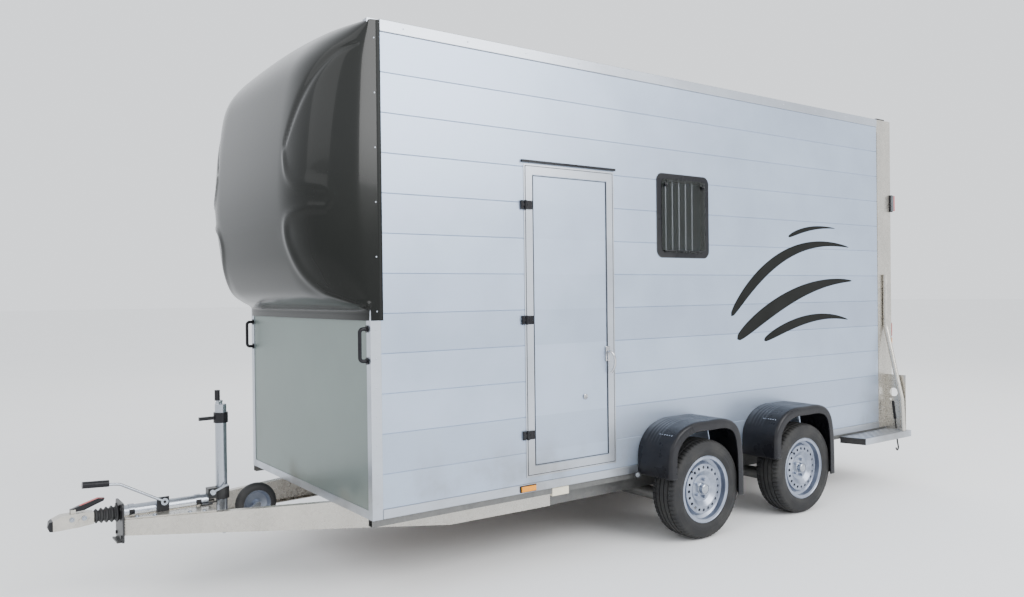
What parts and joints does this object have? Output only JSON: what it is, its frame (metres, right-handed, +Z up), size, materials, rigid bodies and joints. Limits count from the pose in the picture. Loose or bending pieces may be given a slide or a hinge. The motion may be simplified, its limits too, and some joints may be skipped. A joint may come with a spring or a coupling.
{
  "type": "horse trailer",
  "caption": "Tandem-axle horse trailer with board walls, moulded nose, side door, rear ramp, V drawbar, overrun coupling and jockey wheel.",
  "frame": {"origin": "on the ground, under the middle of the whole trailer from coupling tip to tail", "axes": "-X forward, towards the coupling; -Y the side with the walk-in door; +Z up"},
  "size_m": [6.038, 2.31, 2.97],
  "materials": {
    "board_aluminium": "satin brushed, hollow extruded boards",
    "trim_aluminium": "satin anodised",
    "galvanised": "hot-dip galvanised",
    "dark_steel": "black paint",
    "zinc": "bright zinc plating",
    "chrome": "polished",
    "floor_ply": "film-faced plywood",
    "rubber": "matt moulded rubber",
    "rubber_panel": "padded panel",
    "gloss_nose": "gloss gelcoat, near black",
    "roof_white": "moulded sheet",
    "black_plastic": "semi-gloss moulded plastic",
    "tinted_glass": "tinted acrylic",
    "amber_lens": "clear ribbed lens",
    "red_lens": "clear ribbed lens",
    "wheel_silver": "silver lacquer",
    "tyre": "tread rubber"
  },
  "bodies": {
    "trailer": {"chassis_frame": "galvanised", "axle_frame": "galvanised", "drawbar_beam_left": "galvanised", "drawbar_beam_right": "galvanised", "drawbar_head_plate": "dark_steel", "overrun_housing": "dark_steel", "jockey_clamp": "dark_steel", "floor_panel": "floor_ply", "floor_mat": "rubber", "side_boards_left": "board_aluminium", "side_boards_right": "board_aluminium", "front_panel": "board_aluminium", "nose_cap": "gloss_nose", "roof_panel": "roof_white", "side_rails": "trim_aluminium", "front_posts": "trim_aluminium", "rear_portal": "galvanised", "door_frame": "trim_aluminium", "window_frames": "black_plastic", "window_bars": "trim_aluminium", "grab_handles": "black_plastic", "marker_lamps": "amber_lens", "rear_lamps": "red_lens", "fenders": "black_plastic", "side_platforms": "trim_aluminium", "guard_tubes": "galvanised", "breast_bar": "zinc", "door_hinge_pins": "black_plastic", "bellows": "rubber"},
    "side_door": {"side_door": "board_aluminium", "door_lock": "chrome"},
    "door_handle": {"door_handle": "chrome"},
    "window_pane_left": {"window_pane_left": "tinted_glass"},
    "window_pane_right": {"window_pane_right": "tinted_glass"},
    "rear_ramp": {"rear_ramp": "board_aluminium"},
    "ramp_latch_left": {"ramp_latch_left": "zinc"},
    "ramp_latch_right": {"ramp_latch_right": "zinc"},
    "top_flap": {"top_flap": "board_aluminium"},
    "partition": {"partition": "rubber_panel"},
    "coupling": {"coupling_head": "dark_steel"},
    "coupling_handle": {"coupling_handle": "black_plastic"},
    "handbrake_lever": {"handbrake_lever": "zinc"},
    "jockey_mast": {"jockey_outer_tube": "zinc"},
    "jockey_inner": {"jockey_inner_tube": "zinc"},
    "jockey_crank": {"jockey_crank": "zinc"},
    "jockey_fork": {"jockey_fork": "zinc"},
    "jockey_wheel": {"jockey_wheel": "rubber"},
    "jockey_clamp_lever": {"jockey_clamp_lever": "zinc"},
    "swing_arm_left_front": {"swing_arm_left_front": "dark_steel"},
    "wheel_left_front": {"wheel_left_front": "wheel_silver", "tyre_left_front": "tyre"},
    "swing_arm_left_rear": {"swing_arm_left_rear": "dark_steel"},
    "wheel_left_rear": {"wheel_left_rear": "wheel_silver", "tyre_left_rear": "tyre"},
    "swing_arm_right_front": {"swing_arm_right_front": "dark_steel"},
    "wheel_right_front": {"wheel_right_front": "wheel_silver", "tyre_right_front": "tyre"},
    "swing_arm_right_rear": {"swing_arm_right_rear": "dark_steel"},
    "wheel_right_rear": {"wheel_right_rear": "wheel_silver", "tyre_right_rear": "tyre"}
  },
  "joints": [
    {"name": "side_door_swing", "type": "hinge", "parent": "trailer", "child": "side_door", "pos_m": [-0.7577, -0.889, 1.382], "axis": [0, 0, -1], "range_deg": [0, 165]},
    {"name": "door_handle_turn", "type": "hinge", "parent": "side_door", "child": "door_handle", "pos_m": [-0.1423, -0.879, 1.15], "axis": [0, 1, 0], "range_deg": [0, 60]},
    {"name": "window_left_tilt", "type": "hinge", "parent": "trailer", "child": "window_pane_left", "pos_m": [0.525, -0.8803, 2.251], "axis": [-1, 0, 0], "range_deg": [0, 45]},
    {"name": "window_right_tilt", "type": "hinge", "parent": "trailer", "child": "window_pane_right", "pos_m": [0.525, 0.8803, 2.251], "axis": [1, 0, 0], "range_deg": [0, 45]},
    {"name": "ramp_swing", "type": "hinge", "parent": "trailer", "child": "rear_ramp", "pos_m": [2.991, 0, 0.443], "axis": [0, 1, 0], "range_deg": [0, 106]},
    {"name": "latch_left_turn", "type": "hinge", "parent": "rear_ramp", "child": "ramp_latch_left", "pos_m": [2.995, -0.739, 1.833], "axis": [1, 0, 0], "range_deg": [0, 90]},
    {"name": "latch_right_turn", "type": "hinge", "parent": "rear_ramp", "child": "ramp_latch_right", "pos_m": [2.995, 0.739, 1.833], "axis": [-1, 0, 0], "range_deg": [0, 90]},
    {"name": "top_flap_swing", "type": "hinge", "parent": "trailer", "child": "top_flap", "pos_m": [2.991, 0, 2.806], "axis": [0, -1, 0], "range_deg": [0, 90]},
    {"name": "partition_swing", "type": "hinge", "parent": "trailer", "child": "partition", "pos_m": [0.149, 0, 1.3], "axis": [0, 0, 1], "range_deg": [-15, 15]},
    {"name": "overrun_slide", "type": "slide", "parent": "trailer", "child": "coupling", "axis": [1, 0, 0], "range_m": [0, 0.08], "stiffness_N_per_m": 25000, "deforming": ["bellows"]},
    {"name": "coupling_handle_lift", "type": "hinge", "parent": "coupling", "child": "coupling_handle", "pos_m": [-2.907, 0, 0.484], "axis": [0, -1, 0], "range_deg": [0, 35]},
    {"name": "handbrake_pull", "type": "hinge", "parent": "trailer", "child": "handbrake_lever", "pos_m": [-2.489, -0.052, 0.476], "axis": [0, 1, 0], "range_deg": [0, 65]},
    {"name": "jockey_height", "type": "slide", "parent": "trailer", "child": "jockey_mast", "axis": [0, 0, 1], "range_m": [-0.04, 0.12]},
    {"name": "jockey_wind", "type": "slide", "parent": "jockey_mast", "child": "jockey_inner", "axis": [0, 0, -1], "range_m": [0, 0.25]},
    {"name": "jockey_crank_turn", "type": "hinge", "parent": "jockey_mast", "child": "jockey_crank", "pos_m": [-2.181, 0, 0.96], "axis": [0, 0, 1], "continuous": true},
    {"name": "jockey_fold", "type": "hinge", "parent": "jockey_inner", "child": "jockey_fork", "pos_m": [-2.181, 0, 0.272], "axis": [0, 1, 0], "range_deg": [0, 120]},
    {"name": "jockey_wheel_roll", "type": "hinge", "parent": "jockey_fork", "child": "jockey_wheel", "pos_m": [-1.994, 0, 0.38], "axis": [0, 1, 0], "continuous": true},
    {"name": "jockey_clamp_turn", "type": "hinge", "parent": "trailer", "child": "jockey_clamp_lever", "pos_m": [-2.243, -0.055, 0.486], "axis": [0, -1, 0], "range_deg": [0, 150]},
    {"name": "suspension_left_front", "type": "hinge", "parent": "trailer", "child": "swing_arm_left_front", "pos_m": [0.287, -0.905, 0.2507], "axis": [0, -1, 0], "range_deg": [-10, 10], "stiffness_Nm_per_rad": 9000, "springref_deg": -3.15},
    {"name": "wheel_left_front_roll", "type": "hinge", "parent": "swing_arm_left_front", "child": "wheel_left_front", "pos_m": [0.434, -1.0425, 0.3075], "axis": [0, 1, 0], "continuous": true},
    {"name": "suspension_left_rear", "type": "hinge", "parent": "trailer", "child": "swing_arm_left_rear", "pos_m": [1.282, -0.905, 0.2507], "axis": [0, -1, 0], "range_deg": [-10, 10], "stiffness_Nm_per_rad": 9000, "springref_deg": -3.15},
    {"name": "wheel_left_rear_roll", "type": "hinge", "parent": "swing_arm_left_rear", "child": "wheel_left_rear", "pos_m": [1.429, -1.0425, 0.3075], "axis": [0, 1, 0], "continuous": true},
    {"name": "suspension_right_front", "type": "hinge", "parent": "trailer", "child": "swing_arm_right_front", "pos_m": [0.287, 0.905, 0.2507], "axis": [0, -1, 0], "range_deg": [-10, 10], "stiffness_Nm_per_rad": 9000, "springref_deg": -3.15},
    {"name": "wheel_right_front_roll", "type": "hinge", "parent": "swing_arm_right_front", "child": "wheel_right_front", "pos_m": [0.434, 1.0425, 0.3075], "axis": [0, 1, 0], "continuous": true},
    {"name": "suspension_right_rear", "type": "hinge", "parent": "trailer", "child": "swing_arm_right_rear", "pos_m": [1.282, 0.905, 0.2507], "axis": [0, -1, 0], "range_deg": [-10, 10], "stiffness_Nm_per_rad": 9000, "springref_deg": -3.15},
    {"name": "wheel_right_rear_roll", "type": "hinge", "parent": "swing_arm_right_rear", "child": "wheel_right_rear", "pos_m": [1.429, 1.0425, 0.3075], "axis": [0, 1, 0], "continuous": true}
  ]
}
